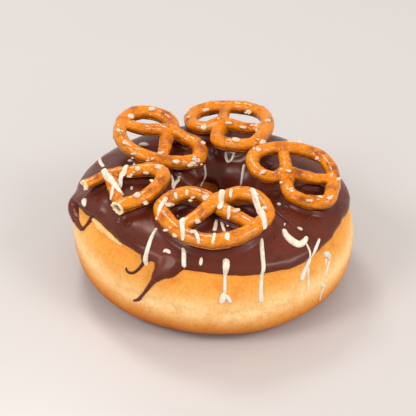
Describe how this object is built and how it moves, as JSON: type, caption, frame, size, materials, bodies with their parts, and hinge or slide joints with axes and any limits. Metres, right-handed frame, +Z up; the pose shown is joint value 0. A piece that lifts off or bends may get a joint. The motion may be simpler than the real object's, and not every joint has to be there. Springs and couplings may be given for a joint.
{
  "type": "chocolate glazed ring doughnut with pretzels",
  "caption": "Fried yeast ring doughnut with an off-centre hole, a thick chocolate glaze that drips over its side, and small salted pretzels lying on top under white icing drizzle",
  "frame": {"origin": "bottom centre of the whole object, at the height of the flat foot that the doughnut stands on", "axes": "+Z up out of the top of the doughnut, -Y towards the front, where the longest icing runs and the front pretzel are, +X to the right seen from the front"},
  "size_m": [0.0946, 0.0944, 0.0438],
  "materials": {
    "dough": "fried golden dough, matte with a faint oil sheen",
    "chocolate": "set milk chocolate, satin gloss",
    "pretzel": "baked lye crust, glossy brown with paler seams",
    "white_icing": "set white icing, soft gloss",
    "salt": "pressed salt flakes, translucent"
  },
  "bodies": {
    "root": {"dough_ring": "dough", "chocolate_icing": "chocolate", "pretzel_front": "pretzel", "pretzel_right": "pretzel", "pretzel_back_right": "pretzel", "pretzel_back_left": "pretzel", "pretzel_broken": "pretzel"}
  },
  "joints": []
}
